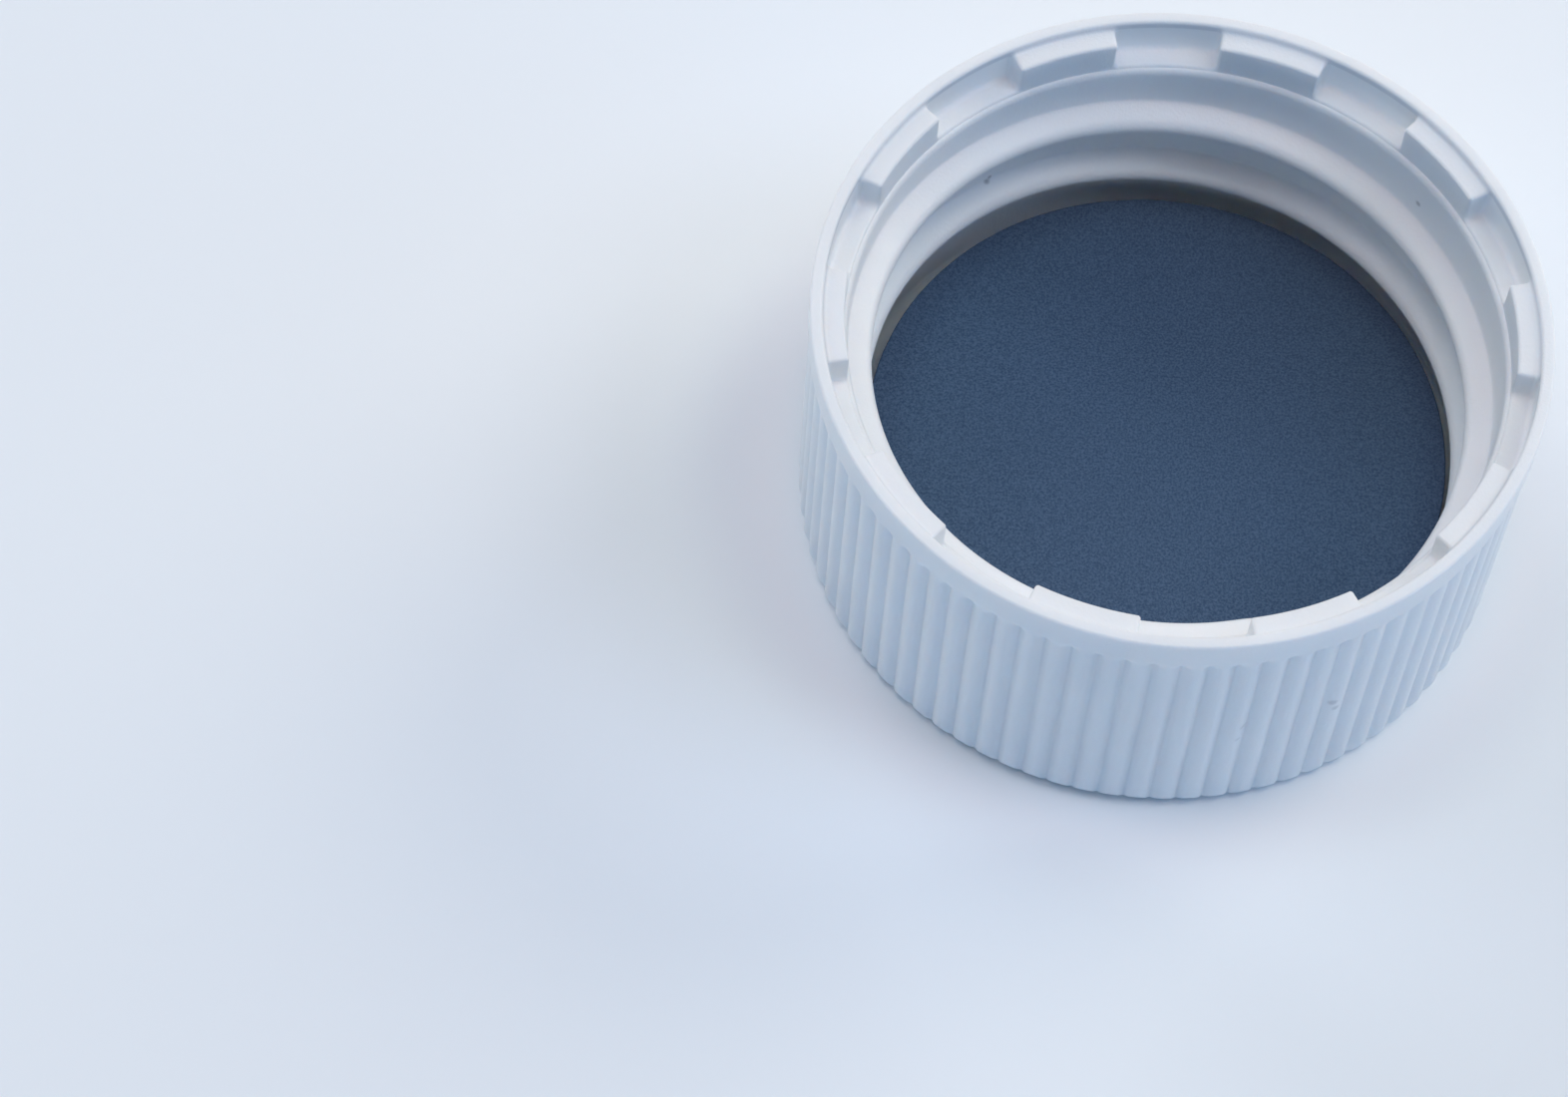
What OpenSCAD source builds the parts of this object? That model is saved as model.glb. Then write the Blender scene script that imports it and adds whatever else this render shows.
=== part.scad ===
// Septum screw cap for a 24-400 threaded neck, with its loose septum disc.
//
// Millimetres, +Z up. The cap stands on its closed end with its mouth up, and the
// origin is the centre of the closed end's outer face.
// The shell is one moulding: closed end, ribbed skirt, plain band, lip, a ring of
// lugs inside the mouth and a right-hand thread of one start.

/* [Shell] */
// Height over all
cap_h = 12.8; // [12.4:0.1:15]
// Outer diameter of the plain band, the widest place
band_d = 27; // [27:0.1:28]
// Height of the plain band at the mouth
band_h = 1.5; // [1.4:0.1:2.2]
// Thickness of the closed end
top_t = 1.3; // [1:0.1:1.6]
// Rounding of the shoulder between the ribs and the closed end
shoulder_r = 1; // [0.6:0.1:1.2]
// Depth of the shallow dish in the closed end's outer face
dish_depth = 0.1; // [0.05:0.01:0.2]
// Diameter of that dish
dish_d = 9; // [6:0.5:14]

/* [Ribs] */
// Number of gripping ribs round the skirt
rib_count = 85; // [84:1:88]
// Radius of one rib's rounded back
rib_r = 0.55; // [0.52:0.01:0.58]
// Distance from the cap's axis to the axis of a rib's back
rib_axis_r = 12.83; // [12.8:0.01:12.86]
// Azimuth of one valley between two ribs, in degrees
rib_phase = 259.2; // [258:0.01:262]

/* [Mouth] */
// Inner diameter of the thin lip round the mouth, and of the pockets under it
lip_d = 26.06; // [26:0.02:26.12]
// Rounding of the lip's outer edge
lip_outer_r = 0.1; // [0.1:0.05:0.3]
// Number of lugs
lug_count = 10; // [6:1:12]
// Azimuth of the first lug's middle, in degrees
lug_phase = 3.5; // [0:0.1:36]
// Share of the ring that the lugs fill
lug_share = 0.5; // [0.4:0.02:0.6]
// Diameter inside the lugs, which the neck's thread passes through
lug_d = 24.4; // [24.3:0.05:24.5]
// How far the lugs' tops lie under the rim
lug_drop = 0.3; // [0.2:0.05:0.5]
// How far the pockets' floor lies under the rim
ledge_drop = 1.65; // [1.6:0.05:1.8]

/* [Thread] */
// Diameter at the thread's root, the plain inner wall
root_d = 24.05; // [24:0.05:24.15]
// Diameter at the thread's crest
crest_d = 22.2; // [22.2:0.05:22.5]
// Pitch of the thread, eight to the inch
pitch = 3.175; // [3:0.005:3.2]
// Width of the thread at its root
thread_root_w = 1.4; // [1.3:0.02:1.5]
// Radius of the thread's rounded crest
thread_crest_r = 0.45; // [0.35:0.01:0.48]
// How far the thread's middle lies under the rim where it begins
thread_start_drop = 2.58; // [2.5:0.01:2.8]
// Azimuth at which the thread begins at the mouth, in degrees
thread_start = 299; // [285:1:305]
// Turn of the thread about the axis, in degrees
thread_sweep = 728; // [600:8:728]

/* [Septum] */
// Diameter of the septum disc
septum_d = 22; // [21:0.1:22.2]
// Thickness of the septum disc
septum_t = 2.55; // [1.5:0.05:2.6]

/* [Hidden] */
band_r = band_d / 2;
lip_r = lip_d / 2;
lug_r = lug_d / 2;
root_r = root_d / 2;
crest_r = crest_d / 2;
band_z = cap_h - band_h;
ledge_z = cap_h - ledge_drop;
lug_top_z = cap_h - lug_drop;
throat_z = ledge_z - 0.07;      // the full ring of the lugs' diameter ends here
throat_chamfer = lug_r - root_r; // and a chamfer leads down to the root wall
floor_r = 0.5;                  // rounding between the floor and the root wall
rib_pitch = 360 / rib_count;
envelope_r = rib_axis_r + rib_r + 0.04;
lug_pitch = 360 / lug_count;
lug_angle = lug_pitch * lug_share;
dish_r = (dish_d * dish_d / 4 + dish_depth * dish_depth) / (2 * dish_depth);
thread_step = 8;                // degrees between two sections of the thread
thread_steps = ceil(thread_sweep / thread_step);
thread_runout = 12;             // degrees over which each end of the thread dies away
thread_slope = (thread_root_w / 2 - thread_crest_r * sin(78))
  / (root_r - crest_r - thread_crest_r * (1 - cos(78))); // of its flanks
thread_foot_r = root_r + 0.1;   // the thread's foot lies inside the wall
thread_back_r = root_r + 0.3;
thread_foot_w = thread_root_w + 0.2 * thread_slope;

// The skirt's outer form without its ribs, rounded at the closed end. It stands just clear
// of the ribs' backs, so the rounding runs over the ribs and scallops them.
module skirt_envelope()
  rotate_extrude($fn = 180)
    union() {
      square([envelope_r - shoulder_r, shoulder_r + 1]);
      translate([0, shoulder_r]) square([envelope_r, band_z + 0.2 - shoulder_r]);
      translate([envelope_r - shoulder_r, shoulder_r]) circle(shoulder_r, $fn = 48);
    }

// The ribs: a ring of upright round backs on a plain core
module ribs()
  linear_extrude(band_z + 0.1)
    union() {
      circle(rib_axis_r, $fn = 180);
      for (i = [0 : rib_count - 1])
        rotate(rib_phase + (i + 0.5) * rib_pitch)
          translate([rib_axis_r, 0]) circle(rib_r, $fn = 32);
    }

// The plain band at the mouth, with a rounded outer edge and a short slope down to the ribs
module band()
  rotate_extrude($fn = 180)
    union() {
      polygon([[0, band_z - 0.15], [rib_axis_r + 0.2, band_z - 0.15], [band_r, band_z + 0.1],
               [band_r, cap_h - lip_outer_r], [0, cap_h - lip_outer_r]]);
      square([band_r - lip_outer_r, cap_h]);
      translate([band_r - lip_outer_r, cap_h - lip_outer_r]) circle(lip_outer_r, $fn = 48);
    }

// One lug, rooted in the lip's wall and in the ledge; the throat trims its inner face
module lug()
  rotate([0, 0, -lug_angle / 2])
    rotate_extrude(angle = lug_angle, $fn = 180)
      translate([lug_r - 0.3, ledge_z - 0.03])
        square([lip_r - lug_r + 0.5, lug_top_z - ledge_z + 0.03]);

// The open inside of the shell, before the lugs are added
module inside() {
  // root wall and floor, with the rounding between them
  rotate_extrude($fn = 180)
    union() {
      translate([0, top_t]) square([root_r - floor_r, cap_h]);
      translate([0, top_t + floor_r]) square([root_r, cap_h]);
      translate([root_r - floor_r, top_t + floor_r]) circle(floor_r, $fn = 32);
    }
  // the lip's inside, down to the ledge
  translate([0, 0, ledge_z]) cylinder(r = lip_r, h = cap_h, $fn = 180);
}

// The throat inside the lugs, with the chamfer below it
module throat() {
  translate([0, 0, throat_z]) cylinder(r = lug_r, h = cap_h, $fn = 180);
  translate([0, 0, throat_z - throat_chamfer])
    cylinder(r1 = root_r, r2 = lug_r, h = throat_chamfer, $fn = 180);
}

// The thread's section as [radius, height from its middle], from the back upwards and round
thread_section = [
  [thread_back_r, thread_foot_w / 2],
  [thread_foot_r, thread_foot_w / 2],
  for (a = [78, 47, 16, -16, -47, -78])
    [crest_r + thread_crest_r * (1 - cos(a)), thread_crest_r * sin(a)],
  [thread_foot_r, -thread_foot_w / 2],
  [thread_back_r, -thread_foot_w / 2],
];

// How full the thread is at a turn of a degrees from its beginning: 0 at the ends, 1 between
function fullness(a) = max(0, min(1, a / thread_runout, (thread_sweep - a) / thread_runout));
function turn(i) = min(thread_sweep, i * thread_step);
function ring(a) =
  let (f = fullness(a), az = thread_start - a,
       z = cap_h - thread_start_drop - a / 360 * pitch)
  [for (s = thread_section)
    let (r = s[0] > root_r ? s[0] : thread_foot_r - (thread_foot_r - s[0]) * f)
    [r * cos(az), r * sin(az), min(z + s[1], throat_z - throat_chamfer - 0.02)]];

// One start of thread, wound from the mouth towards the closed end
module thread() {
  n = len(thread_section);
  m = thread_steps;
  polyhedron(
    points = [for (i = [0 : m]) each ring(turn(i))],
    faces = concat(
      [[for (j = [0 : n - 1]) j]],
      [[for (j = [n - 1 : -1 : 0]) m * n + j]],
      [for (i = [0 : m - 1], j = [0 : n - 1])
        [i * n + j, (i + 1) * n + j, i * n + (j + 1) % n]],
      [for (i = [0 : m - 1], j = [0 : n - 1])
        [(i + 1) * n + j, (i + 1) * n + (j + 1) % n, i * n + (j + 1) % n]]
    ),
    convexity = 10);
}

// The moulded shell
module cap_shell()
  color([0.93, 0.95, 0.97])
    union() {
      difference() {
        union() {
          difference() {
            union() {
              intersection() {
                ribs();
                skirt_envelope();
              }
              band();
            }
            inside();
          }
          for (i = [0 : lug_count - 1])
            rotate(lug_phase + i * lug_pitch) lug();
        }
        throat();
        // shallow dish in the closed end's outer face
        translate([0, 0, dish_depth - dish_r]) sphere(r = dish_r, $fn = 360);
      }
      thread();
    }

// The septum, a plain disc that lies on the floor
module septum()
  color([0.22, 0.30, 0.42])
    translate([0, 0, top_t]) cylinder(d = septum_d, h = septum_t, $fn = 180);

cap_shell();
septum();
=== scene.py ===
import bpy
import bmesh
import math
import numpy as np
from mathutils import Matrix, Vector


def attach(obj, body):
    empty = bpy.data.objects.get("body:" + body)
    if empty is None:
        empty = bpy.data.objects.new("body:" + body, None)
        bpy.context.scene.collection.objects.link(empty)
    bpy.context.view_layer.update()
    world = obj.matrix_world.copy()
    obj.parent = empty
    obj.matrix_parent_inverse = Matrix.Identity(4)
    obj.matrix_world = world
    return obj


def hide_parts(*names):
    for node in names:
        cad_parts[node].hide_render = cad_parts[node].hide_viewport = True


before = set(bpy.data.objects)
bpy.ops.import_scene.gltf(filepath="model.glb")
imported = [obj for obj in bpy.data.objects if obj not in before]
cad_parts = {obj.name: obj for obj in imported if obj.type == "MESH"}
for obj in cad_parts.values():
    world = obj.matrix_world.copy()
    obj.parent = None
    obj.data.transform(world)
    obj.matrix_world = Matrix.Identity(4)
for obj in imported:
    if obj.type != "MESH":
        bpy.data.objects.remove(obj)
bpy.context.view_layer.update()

# ---------------------------------------------------------------- sizes, in millimetres, as in the CAD model
H = 12.8            # height
BAND_R = 13.5       # plain band at the mouth
RIBS, RIB_R, RIB_AXIS, RIB_PHASE = 85, 0.55, 12.88, 259.2
LIP_R = 13.03       # inside of the lip and of the pockets
LUG_R = 12.2        # inside of the lugs and of the throat under them
LUGS, LUG_PHASE, LUG_HALF = 10, 3.5, 9.0
LUG_Z = H - 0.3
LEDGE_Z = H - 1.65
THROAT_Z = LEDGE_Z - 0.07
WALL_Z = H - 2.05   # where the root wall begins
ROOT_R = 12.025
TOP_T = 1.3
PITCH = 3.175
THREAD_H0 = H - 4.503        # height of the thread's crest at azimuth THREAD_A0
THREAD_A0 = 81.0
THREAD_BEGIN, THREAD_END = 303.0, -429.0
ENVELOPE_R = 13.47
SHOULDER = 1.0
SEPTUM_R, SEPTUM_T = 11.0, 2.55

EDGE = 0.12         # rounding of the lugs' outer edges
FILLET = 0.20       # rounding in their corners


def smooth(t):
    t = np.clip(t, 0.0, 1.0)
    return t * t * (3 - 2 * t)


class Skin:
    """A closed skin gathered from grids of points. Points that coincide are joined at the end."""

    def __init__(self):
        self.points, self.faces, self.count = [], [], 0

    def add(self, pts):
        pts = np.asarray(pts, float).reshape(-1, 3)
        start = self.count
        self.points.append(pts)
        self.count += len(pts)
        return start

    def grid(self, rows, wrap=True):
        """rows: array (m, n, 3). Rows run along the skin's section, columns counter-clockwise."""
        rows = np.asarray(rows, float)
        m, n = rows.shape[:2]
        s = self.add(rows)
        idx = s + np.arange(m * n).reshape(m, n)
        a = idx
        b = np.roll(idx, -1, 1) if wrap else idx[:, 1:]
        if not wrap:
            a = idx[:, :-1]
        q = np.stack([a[:-1], b[:-1], b[1:], a[1:]], -1).reshape(-1, 4)
        self.faces += q.tolist()

    def zipper(self, lower, upper):
        """Triangles between two closed rings with different numbers of points, both counter-clockwise."""
        def order(ring):
            ring = np.asarray(ring, float)
            az = np.degrees(np.arctan2(ring[:, 1], ring[:, 0])) % 360
            k = np.argsort(az, kind="stable")
            az, ring = az[k], ring[k]
            keep = np.ones(len(az), bool)
            keep[1:] = np.diff(az) > 1e-4
            return az[keep], ring[keep]
        az_a, A = order(lower)
        az_b, B = order(upper)
        sa, sb = self.add(A), self.add(B)
        na, nb = len(A), len(B)
        i = j = 0
        while i < na or j < nb:
            next_a = az_a[i + 1] if i + 1 < na else az_a[0] + 360 if i < na else 1e9
            next_b = az_b[j + 1] if j + 1 < nb else az_b[0] + 360 if j < nb else 1e9
            a0, b0 = sa + i % na, sb + j % nb
            if next_a <= next_b and i < na:
                self.faces.append([a0, sa + (i + 1) % na, b0])
                i += 1
            else:
                self.faces.append([a0, sb + (j + 1) % nb, b0])
                j += 1

    def mesh(self, name):
        pts = np.concatenate(self.points)
        bm = bmesh.new()
        verts = [bm.verts.new(p) for p in pts.tolist()]
        bm.verts.ensure_lookup_table()
        for f in self.faces:
            ring = []
            for i in f:
                v = verts[i]
                if v not in ring:
                    ring.append(v)
            if len(ring) >= 3:
                try:
                    bm.faces.new(ring)
                except ValueError:
                    pass
        bmesh.ops.remove_doubles(bm, verts=bm.verts, dist=2e-4)
        bmesh.ops.dissolve_degenerate(bm, dist=1e-5, edges=bm.edges)
        loose = [v for v in bm.verts if not v.link_faces]
        bmesh.ops.delete(bm, geom=loose, context="VERTS")
        bmesh.ops.scale(bm, vec=(0.001, 0.001, 0.001), verts=bm.verts)
        me = bpy.data.meshes.new(name)
        bm.to_mesh(me)
        bm.free()
        me.polygons.foreach_set("use_smooth", [True] * len(me.polygons))
        me.update()
        # vertex normals weighted by face area, so that flats stay flat beside small roundings
        co = np.zeros(len(me.vertices) * 3)
        me.vertices.foreach_get("co", co)
        co = co.reshape(-1, 3) * 1000
        normals = np.zeros_like(co)
        for p in me.polygons:
            n = np.array(p.normal) * p.area * 1e6
            for v in p.vertices:
                normals[v] += n
        length = np.linalg.norm(normals, axis=1)
        normals[length > 0] /= length[length > 0][:, None]
        me.normals_split_custom_set_from_vertices(normals.tolist())
        return me


def polar(r, az, z):
    r, az, z = np.broadcast_arrays(np.asarray(r, float), np.radians(az), z)
    return np.stack([r * np.cos(az), r * np.sin(az), z], -1)


# ---------------------------------------------------------------- the shell
def rib_radius(az):
    """Radius of the ribbed skirt at an azimuth in degrees, with a small rounding in the valleys."""
    pitch = 360.0 / RIBS
    out = 0.0
    offsets = np.linspace(-0.22, 0.22, 9)
    for o in offsets:
        d = np.radians((az + o - RIB_PHASE) % pitch - pitch / 2)
        out = out + RIB_AXIS * np.cos(d) + np.sqrt(RIB_R ** 2 - (RIB_AXIS * np.sin(d)) ** 2)
    return out / len(offsets)


def thread_profile():
    """Height of the thread above the root wall over its distance from the crest's middle."""
    v = np.arange(-1.2, 1.2001, 0.005)
    round_t = 0.50 + np.sqrt(np.maximum(0.45 ** 2 - v ** 2, 0.0))
    flank = np.interp(np.abs(v), [0, 0.44, 0.70, 0.75], [9.0, 0.594, 0.0, 0.0])
    raw = np.where(np.abs(v) < 0.44, round_t, flank)
    k = np.exp(-0.5 * (np.arange(-0.12, 0.1201, 0.005) / 0.03) ** 2)
    return v, np.convolve(raw, k / k.sum(), mode="same")


THREAD_V, THREAD_T = thread_profile()


def inner_radius(az, z):
    """Radius of the wall below the throat, thread included."""
    bump = 0.0
    for turn in (-2, -1, 0):  # the thread passes each azimuth up to three times
        a = az + 360.0 * turn
        full = smooth((THREAD_BEGIN - a) / 20.0) * smooth((a - THREAD_END) / 14.0)
        v = z - (THREAD_H0 + (a - THREAD_A0) / 360.0 * PITCH)
        narrow = 0.55 + 0.45 * full
        h = np.interp(v / narrow, THREAD_V, THREAD_T, left=0, right=0) * full
        bump = np.maximum(bump, h)
    bump = bump * smooth((WALL_Z - z) / 0.10)
    return ROOT_R - bump


def mouth_columns():
    """The step that the lugs and the pockets between them make round the ring, as a path:
    azimuth, height and normal (along the ring, upwards) at each column."""
    levels = np.linspace(LUG_Z - EDGE, LEDGE_Z + FILLET, 5)
    arc = np.radians(np.linspace(0, 90, 5))
    arc2 = np.radians(np.linspace(0, 90, 4))
    r = 12.64
    deg = lambda mm: math.degrees(mm / r)
    down = [(deg(-EDGE + EDGE * math.sin(t)), LUG_Z - EDGE + EDGE * math.cos(t), math.sin(t), math.cos(t)) for t in arc]
    down += [(0.0, z, 1.0, 0.0) for z in levels[1:-1]]
    down += [(deg(FILLET * (1 - math.cos(t))), LEDGE_Z + FILLET * (1 - math.sin(t)), math.cos(t), math.sin(t)) for t in arc2]
    cols = []
    pitch = 360.0 / LUGS
    for i in range(LUGS):
        c = LUG_PHASE + i * pitch
        inside = LUG_HALF - deg(EDGE) - 0.35
        for a in np.linspace(-inside, inside, 12):
            cols.append((c + a, LUG_Z, 0.0, 1.0))
        cols += [(c + LUG_HALF + a, z, nt, nz) for a, z, nt, nz in down]
        gap = pitch - 2 * LUG_HALF
        inside = gap / 2 - deg(FILLET) - 0.35
        for a in np.linspace(-inside, inside, 12):
            cols.append((c + pitch / 2 + a, LEDGE_Z, 0.0, 1.0))
        cols += [(c + pitch - LUG_HALF - a, z, -nt, nz) for a, z, nt, nz in reversed(down)]
    return np.array(cols), levels


def shell_mesh():
    skin = Skin()
    # closed end: a shallow dish, then the flat it stands on
    az = np.arange(0, 360, 3.0)
    dish_r, depth = 4.5, 0.1
    big = (dish_r ** 2 + depth ** 2) / (2 * depth)
    rr = [0.0, 0.8, 1.6, 2.4, 3.2, 3.9, 4.35]
    rows = [polar(r, az, depth - big + math.sqrt(big ** 2 - r ** 2)) for r in rr]
    rows += [polar(4.6, az, 0.0), polar(7.5, az, 0.0), polar(10.5, az, 0.0), polar(12.0, az, 0.0)]
    # facing down, so the section runs from the middle outwards
    skin.grid(rows)
    # ribs: twelve columns each
    az_o = RIB_PHASE + np.arange(RIBS * 12) * 360.0 / (RIBS * 12)
    rib = rib_radius(az_o)
    flat_edge = ENVELOPE_R - SHOULDER
    top = np.arccos(np.clip((rib - flat_edge) / SHOULDER, -1, 1))      # where the rounding meets the rib
    outer = [polar(12.2, az_o, 0.0), polar(flat_edge, az_o, 0.0)]
    # angle t from straight down, up to the rib
    t_end = np.pi / 2 - top
    for s in (0.12, 0.28, 0.45, 0.62, 0.78, 0.9, 0.97):
        t = t_end * s
        outer.append(polar(flat_edge + SHOULDER * np.sin(t), az_o, SHOULDER * (1 - np.cos(t))))
    z_end = SHOULDER * (1 - np.cos(t_end))
    for dz, dr in ((0.015, 0.006), (0.06, 0.0)):
        outer.append(polar(rib - dr, az_o, z_end + dz))
    outer.append(polar(rib, az_o, z_end + 0.25))
    for z in (2.6, 5.0, 7.5, 9.6, 10.9):
        outer.append(polar(rib, az_o, z))
    # the flutes run out under the band
    z0, z1 = 10.98, 11.50
    for s in np.linspace(0, 1, 8):
        z = z0 + (z1 - z0) * s
        outer.append(polar(rib + (BAND_R - rib) * smooth(s), az_o, z))
    for z in (11.54, 11.9, 12.3, 12.6):
        outer.append(polar(BAND_R, az_o, z))
    # lip, rounded outside
    a, b = 0.10, 0.10
    for t in np.radians([0, 18, 36, 54, 72, 90]):
        outer.append(polar(BAND_R - a + a * math.cos(t), az_o, H - b + b * math.sin(t)))
    skin.zipper(rows[-1], outer[0])
    skin.grid(outer)
    # mouth
    cols, levels = mouth_columns()
    ka, kz, nt, nz = cols.T
    out_a = ka + np.degrees(nt * FILLET / LIP_R)
    out_z = kz + nz * FILLET
    inner = []
    b = 0.11
    for t in np.radians([90, 72, 54, 36, 18, 0]):
        inner.append(polar(LIP_R + b - b * math.cos(t), out_a, H - b + b * math.sin(t)))
    for level in [H - 0.14] + levels.tolist():
        inner.append(polar(LIP_R, out_a, np.maximum(level, out_z)))
    for phi in np.radians([67, 45, 22, 0]):
        off = FILLET * (1 - math.cos(phi))
        inner.append(polar(LIP_R - FILLET * (1 - math.sin(phi)), ka + np.degrees(nt * off / LIP_R), kz + nz * off))
    for r in (12.75, 12.55):
        inner.append(polar(r, ka, kz))
    for phi in np.radians([0, 18, 36, 54, 72, 90]):
        off = EDGE * (1 - math.cos(phi))
        inner.append(polar(LUG_R + EDGE * (1 - math.sin(phi)), ka - np.degrees(nt * off / LUG_R), kz - nz * off))
    in_a = ka - np.degrees(nt * EDGE / LUG_R)
    in_z = kz - nz * EDGE
    low_a = np.sort(in_a)     # below the lugs the columns run in order round the ring
    for level in levels[1:].tolist() + [LEDGE_Z, LEDGE_Z - EDGE]:
        inner.append(polar(LUG_R, in_a if level > LEDGE_Z else low_a, np.minimum(level, in_z)))
    # a soft step from the ledge down to the root wall
    for t in np.radians([0, 12, 24, 36, 48, 60, 75, 90]):
        inner.append(polar(LUG_R - (LUG_R - ROOT_R) * math.sin(t), low_a,
                           WALL_Z + (LEDGE_Z - EDGE - 0.004 - WALL_Z) * math.cos(t)))
    skin.zipper(outer[-1], inner[0])
    skin.grid(inner)
    # root wall with the thread: the rows climb with the thread, and are cut off level above and below
    wall_top, wall_low = WALL_Z, TOP_T + 0.5
    one = [0, .07, .14, .2, .26, .32, .37, .41, .44, .47, .52, .58, .64, .68, .72, .78, .86, 1.0, 1.28]
    rel = sorted(set([-x for x in one] + one + [PITCH / 2]))
    stations = sorted(v + PITCH * m for m in range(-4, 2) for v in rel)
    a = low_a % 360.0
    order = np.argsort(a, kind="stable")
    a = np.concatenate([a[order], [360.0 + a[order][0]]])
    base = THREAD_H0 + (a - THREAD_A0) / 360.0 * PITCH
    wall = []
    for v in reversed(stations):
        z = np.clip(base + v, wall_low, wall_top)
        wall.append(polar(inner_radius(a % 360.0, z), a, z))
    skin.grid(wall, wrap=False)
    # floor
    ring = a[:-1]
    floor = []
    for t in np.radians([0, 22, 45, 68, 90]):
        floor.append(polar(ROOT_R - 0.5 + 0.5 * math.cos(t), ring, TOP_T + 0.5 - 0.5 * math.sin(t)))
    for r in (10.9, 8.0, 4.0, 0.0):
        floor.append(polar(r, ring, TOP_T))
    skin.grid(floor)
    return skin.mesh("cap_shell_visual")


def septum_mesh():
    """A disc cut from sheet: crisp edges with a trace of rounding, a side pinched a little by the die."""
    skin = Skin()
    az = np.arange(0, 360, 1.5)
    z0, z1, r = TOP_T, TOP_T + SEPTUM_T, SEPTUM_R
    sec = [(0, z0), (3, z0), (6, z0), (9, z0), (10.6, z0), (10.9, z0)]
    e = 0.05
    sec += [(r - e + e * math.sin(t), z0 + e - e * math.cos(t)) for t in np.radians([0, 30, 60, 90])]
    for s in (0.15, 0.35, 0.5, 0.65, 0.85):
        sec.append((r - 0.05 * math.sin(math.pi * s), z0 + SEPTUM_T * s))
    e = 0.07
    sec += [(r - e + e * math.cos(t), z1 - e + e * math.sin(t)) for t in np.radians([0, 22, 45, 68, 90])]
    sec += [(10.8, z1), (10.5, z1), (9, z1), (7, z1), (5, z1), (3, z1), (1.5, z1), (0, z1)]
    rows = []
    for rr, z in sec:
        # the faces of a rubber disc are never quite flat
        sag = 0.0
        if z >= z1 - 1e-6:
            sag = -0.02 * (1 - (rr / r) ** 2) + 0.006 * np.sin(np.radians(az * 2 + 40)) * (rr / r) ** 2 * max(0.0, 1 - rr / 10.95)
        rows.append(polar(rr, az, z + sag))
    skin.grid(rows)
    return skin.mesh("septum_visual")


def piece(name, me, node):
    o = bpy.data.objects.new(name, me)
    bpy.context.scene.collection.objects.link(o)
    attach(o, "root")
    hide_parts(node)
    return o


# ---------------------------------------------------------------- materials
class Nodes:
    def __init__(self, mat):
        mat.use_nodes = True
        self.t = mat.node_tree
        self.t.nodes.clear()

    def new(self, kind, **values):
        n = self.t.nodes.new(kind)
        for k, v in values.items():
            if k in n.inputs:
                n.inputs[k].default_value = v
            else:
                setattr(n, k, v)
        return n

    def link(self, a, b):
        self.t.links.new(a, b)


def on_wall(r, az, z):
    a = math.radians(az)
    return (r * math.cos(a), r * math.sin(a), z)


MARKS = [
    (on_wall(ROOT_R, 126.0, H - 6.7), 0.20, 0.75),
    (on_wall(ROOT_R, 125.2, H - 6.5), 0.12, 0.45),
    (on_wall(ROOT_R, 41.0, H - 3.3), 0.16, 0.45),
    (on_wall(13.4, 298.6, 6.2), 0.24, 0.28),
    (on_wall(13.4, 299.4, 5.7), 0.20, 0.24),
    (on_wall(13.4, 284.2, 6.1), 0.24, 0.24),
    (on_wall(13.35, 283.4, 5.2), 0.16, 0.16),
]


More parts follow.
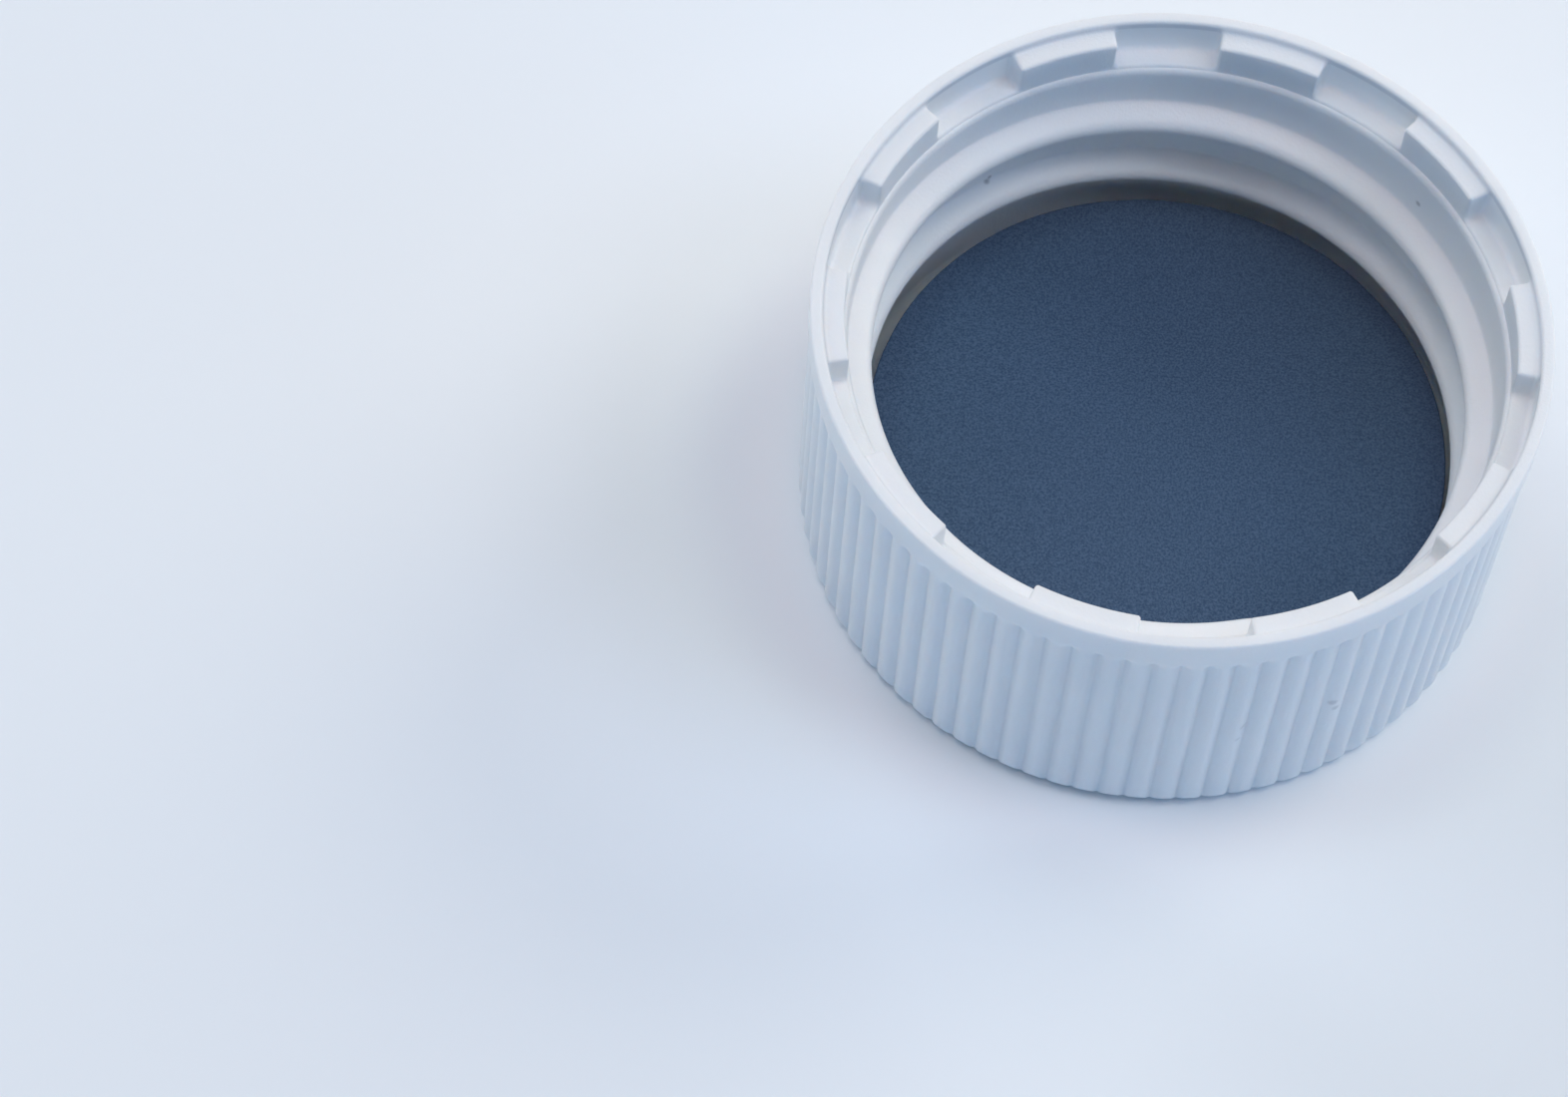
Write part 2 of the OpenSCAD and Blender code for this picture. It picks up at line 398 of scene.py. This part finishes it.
def shell_material():
    mat = bpy.data.materials.new("moulded_white")
    n = Nodes(mat)
    out = n.new("ShaderNodeOutputMaterial")
    bsdf = n.new("ShaderNodeBsdfPrincipled")
    n.link(bsdf.outputs[0], out.inputs[0])
    bsdf.inputs["IOR"].default_value = 1.49
    bsdf.inputs["Subsurface Weight"].default_value = 0.6
    bsdf.inputs["Subsurface Radius"].default_value = (1.0, 1.1, 1.2)
    bsdf.inputs["Subsurface Scale"].default_value = 0.0007
    coord = n.new("ShaderNodeTexCoord")
    # broad, faint variation of the moulding
    broad = n.new("ShaderNodeTexNoise", Scale=260.0, Detail=3.0, Roughness=0.5)
    n.link(coord.outputs["Object"], broad.inputs["Vector"])
    ramp = n.new("ShaderNodeMapRange")
    ramp.inputs["From Min"].default_value = 0.3
    ramp.inputs["From Max"].default_value = 0.7
    ramp.inputs["To Min"].default_value = 0.0
    ramp.inputs["To Max"].default_value = 1.0
    n.link(broad.outputs["Fac"], ramp.inputs["Value"])
    mix = n.new("ShaderNodeMix", data_type="RGBA")
    mix.inputs["A"].default_value = (0.835, 0.845, 0.86, 1)
    mix.inputs["B"].default_value = (0.865, 0.873, 0.885, 1)
    n.link(ramp.outputs[0], mix.inputs["Factor"])
    # small marks: (centre in mm, radius in mm, strength)
    colour = mix.outputs["Result"]
    for centre, size, strength in MARKS:
        at = n.new("ShaderNodeVectorMath", operation="DISTANCE")
        n.link(coord.outputs["Object"], at.inputs[0])
        at.inputs[1].default_value = [c * 0.001 for c in centre]
        near = n.new("ShaderNodeMapRange")
        near.inputs["From Min"].default_value = size * 0.001
        near.inputs["From Max"].default_value = 0.4 * size * 0.001
        near.inputs["To Min"].default_value = 0.0
        near.inputs["To Max"].default_value = strength
        n.link(at.outputs["Value"], near.inputs["Value"])
        dark = n.new("ShaderNodeMix", data_type="RGBA")
        n.link(near.outputs[0], dark.inputs["Factor"])
        n.link(colour, dark.inputs["A"])
        dark.inputs["B"].default_value = (0.16, 0.16, 0.18, 1)
        colour = dark.outputs["Result"]
    # painted shade: a faint dark line in the corner where the lugs' tops meet the lip, standing in for the lip's shadow
    # there
    sep = n.new("ShaderNodeSeparateXYZ")
    n.link(coord.outputs["Object"], sep.inputs[0])
    flat = n.new("ShaderNodeCombineXYZ")
    n.link(sep.outputs["X"], flat.inputs["X"])
    n.link(sep.outputs["Y"], flat.inputs["Y"])
    radius = n.new("ShaderNodeVectorMath", operation="LENGTH")
    n.link(flat.outputs[0], radius.inputs[0])
    corner_shade_mask = None
    for source, low, high in (
        (radius.outputs["Value"], 12.90, 13.00),
        (radius.outputs["Value"], 13.12, 13.05),
        (sep.outputs["Z"], H - 0.40, H - 0.34),
        (sep.outputs["Z"], H - 0.08, H - 0.20),
    ):
        part = n.new("ShaderNodeMapRange")
        part.inputs["From Min"].default_value = low * 0.001
        part.inputs["From Max"].default_value = high * 0.001
        n.link(source, part.inputs["Value"])
        if corner_shade_mask is None:
            corner_shade_mask = part.outputs[0]
        else:
            times = n.new("ShaderNodeMath", operation="MULTIPLY")
            n.link(corner_shade_mask, times.inputs[0])
            n.link(part.outputs[0], times.inputs[1])
            corner_shade_mask = times.outputs[0]
    faint = n.new("ShaderNodeMath", operation="MULTIPLY")
    n.link(corner_shade_mask, faint.inputs[0])
    faint.inputs[1].default_value = 0.28
    # painted shade: a bluish grey mixed into the colour along that corner
    painted_corner_shade = n.new("ShaderNodeMix", data_type="RGBA")
    n.link(faint.outputs[0], painted_corner_shade.inputs["Factor"])
    n.link(colour, painted_corner_shade.inputs["A"])
    painted_corner_shade.inputs["B"].default_value = (0.30, 0.33, 0.40, 1)
    n.link(painted_corner_shade.outputs["Result"], bsdf.inputs["Base Color"])
    # fine satin grain
    fine = n.new("ShaderNodeTexNoise", Scale=9000.0, Detail=2.0, Roughness=0.6)
    n.link(coord.outputs["Object"], fine.inputs["Vector"])
    bump = n.new("ShaderNodeBump", Strength=0.45, Distance=0.00004)
    n.link(fine.outputs["Fac"], bump.inputs["Height"])
    n.link(bump.outputs[0], bsdf.inputs["Normal"])
    rough = n.new("ShaderNodeMapRange")
    rough.inputs["To Min"].default_value = 0.42
    rough.inputs["To Max"].default_value = 0.55
    n.link(broad.outputs["Fac"], rough.inputs["Value"])
    n.link(rough.outputs[0], bsdf.inputs["Roughness"])
    return mat


def septum_material():
    mat = bpy.data.materials.new("slate_rubber")
    n = Nodes(mat)
    out = n.new("ShaderNodeOutputMaterial")
    bsdf = n.new("ShaderNodeBsdfPrincipled")
    n.link(bsdf.outputs[0], out.inputs[0])
    bsdf.inputs["Roughness"].default_value = 0.62
    bsdf.inputs["IOR"].default_value = 1.42
    coord = n.new("ShaderNodeTexCoord")
    grain = n.new("ShaderNodeTexNoise", Scale=11000.0, Detail=3.0, Roughness=0.7)
    n.link(coord.outputs["Object"], grain.inputs["Vector"])
    mix = n.new("ShaderNodeMix", data_type="RGBA")
    mix.inputs["A"].default_value = (0.022, 0.058, 0.120, 1)
    mix.inputs["B"].default_value = (0.068, 0.124, 0.215, 1)
    spread = n.new("ShaderNodeMapRange")
    spread.inputs["From Min"].default_value = 0.36
    spread.inputs["From Max"].default_value = 0.64
    n.link(grain.outputs["Fac"], spread.inputs["Value"])
    n.link(spread.outputs[0], mix.inputs["Factor"])
    # painted shade: a little darker towards one side, where the septum lies in the shadow of the thread and wall
    where = n.new("ShaderNodeVectorMath", operation="DOT_PRODUCT")
    n.link(coord.outputs["Object"], where.inputs[0])
    where.inputs[1].default_value = (0.56, 0.83, 0.0)
    painted_side_shade = n.new("ShaderNodeMapRange")
    painted_side_shade.inputs["From Min"].default_value = 0.0
    painted_side_shade.inputs["From Max"].default_value = 0.011
    painted_side_shade.inputs["To Min"].default_value = 0.0
    painted_side_shade.inputs["To Max"].default_value = 0.38
    n.link(where.outputs["Value"], painted_side_shade.inputs["Value"])
    shade = n.new("ShaderNodeMix", data_type="RGBA")
    n.link(painted_side_shade.outputs[0], shade.inputs["Factor"])
    n.link(mix.outputs["Result"], shade.inputs["A"])
    shade.inputs["B"].default_value = (0.016, 0.022, 0.040, 1)
    n.link(shade.outputs["Result"], bsdf.inputs["Base Color"])
    bump = n.new("ShaderNodeBump", Strength=0.35, Distance=0.00002)
    n.link(grain.outputs["Fac"], bump.inputs["Height"])
    n.link(bump.outputs[0], bsdf.inputs["Normal"])
    return mat


# ---------------------------------------------------------------- the object
shell = piece("shell", shell_mesh(), "cap_shell")
shell.data.materials.append(shell_material())
septum = piece("septum_disc", septum_mesh(), "septum")
septum.data.materials.append(septum_material())

# ---------------------------------------------------------------- floor, light, camera
floor_me = bpy.data.meshes.new("floor")
floor_me.from_pydata([(-1.2, -1.2, 0), (1.2, -1.2, 0), (1.2, 1.2, 0), (-1.2, 1.2, 0)], [], [(0, 1, 2, 3)])
floor = bpy.data.objects.new("floor", floor_me)
bpy.context.scene.collection.objects.link(floor)
floor_mat = bpy.data.materials.new("floor")
fn = Nodes(floor_mat)
f_out = fn.new("ShaderNodeOutputMaterial")
f_bsdf = fn.new("ShaderNodeBsdfDiffuse")
f_bsdf.inputs["Color"].default_value = (0.88, 0.91, 0.935, 1)
fn.link(f_bsdf.outputs[0], f_out.inputs[0])
floor_me.materials.append(floor_mat)

# softboxes: azimuth, elevation, distance, size (m), colour, power (W)
LIGHTS = [
    ("overhead", 0, 90, 0.60, 0.10, (1.000, 0.135, 0.000), 0.1902),
    ("soft", 0, 90, 0.60, 0.50, (0.000, 0.740, 1.000), 0.4500),
    ("high_171", 171, 74, 0.60, 0.15, (1.000, 0.946, 0.866), 0.3186),
    ("high_261", 261, 74, 0.60, 0.15, (1.000, 0.630, 0.560), 0.2850),
    ("high_351", 351, 74, 0.60, 0.15, (1.000, 0.985, 0.832), 0.3747),
    ("upper_171", 171, 54, 0.60, 0.25, (0.594, 0.611, 1.000), 0.2872),
    ("upper_351", 351, 54, 0.60, 0.25, (0.739, 0.805, 1.000), 0.6468),
    ("side_126", 126, 28, 0.60, 0.35, (0.876, 0.901, 1.000), 0.9634),
    ("side_171", 171, 28, 0.60, 0.35, (0.876, 1.000, 0.919), 0.4868),
    ("side_351", 351, 28, 0.60, 0.35, (0.253, 0.563, 1.000), 0.4686),
    ("side_36", 36, 28, 0.60, 0.35, (1.000, 0.942, 0.827), 1.3109),
    ("low_261", 261, 9, 0.60, 0.35, (0.000, 0.419, 1.000), 0.6736),
]
for name, az, el, dist, size, colour, power in LIGHTS:
    data = bpy.data.lights.new(name, "AREA")
    data.shape = "DISK"
    data.size = size
    data.color = colour
    data.energy = power
    o = bpy.data.objects.new(name, data)
    a, e = math.radians(az), math.radians(el)
    o.location = (dist * math.cos(e) * math.cos(a), dist * math.cos(e) * math.sin(a), dist * math.sin(e))
    o.rotation_euler = (Vector((0, 0, 0.005)) - o.location).to_track_quat("-Z", "Y").to_euler()
    bpy.context.scene.collection.objects.link(o)

world = bpy.data.worlds.new("studio")
bpy.context.scene.world = world
world.use_nodes = True
world.node_tree.nodes["Background"].inputs[0].default_value = (0.80, 0.90, 1.0, 1)
world.node_tree.nodes["Background"].inputs[1].default_value = 0.06

# the camera stands where the photograph was taken from
F_PX, EL, ROLL, DIST, OFF_X, OFF_Y = 4479.98, 1.065316, 0.073371, 0.17079026, 0.01375994, 0.00363863
cam_data = bpy.data.cameras.new("camera")
cam_data.sensor_fit = "HORIZONTAL"
cam_data.sensor_width = 36.0
cam_data.lens = F_PX / 1572.0 * 36.0
cam_data.clip_start = 0.005
cam_data.clip_end = 10.0
camera = bpy.data.objects.new("camera", cam_data)
fwd = Vector((0, math.cos(EL), -math.sin(EL)))
right = Vector((1, 0, 0))
up = right.cross(fwd)
r2 = math.cos(ROLL) * right + math.sin(ROLL) * up
u2 = -math.sin(ROLL) * right + math.cos(ROLL) * up
m = Matrix((r2, u2, -fwd)).transposed().to_4x4()
m.translation = Vector((-OFF_X, -DIST * math.cos(EL) - OFF_Y, DIST * math.sin(EL)))
camera.matrix_world = m
bpy.context.scene.collection.objects.link(camera)
bpy.context.scene.camera = camera

bpy.context.scene.view_settings.view_transform = "Standard"
bpy.context.scene.view_settings.look = "None"
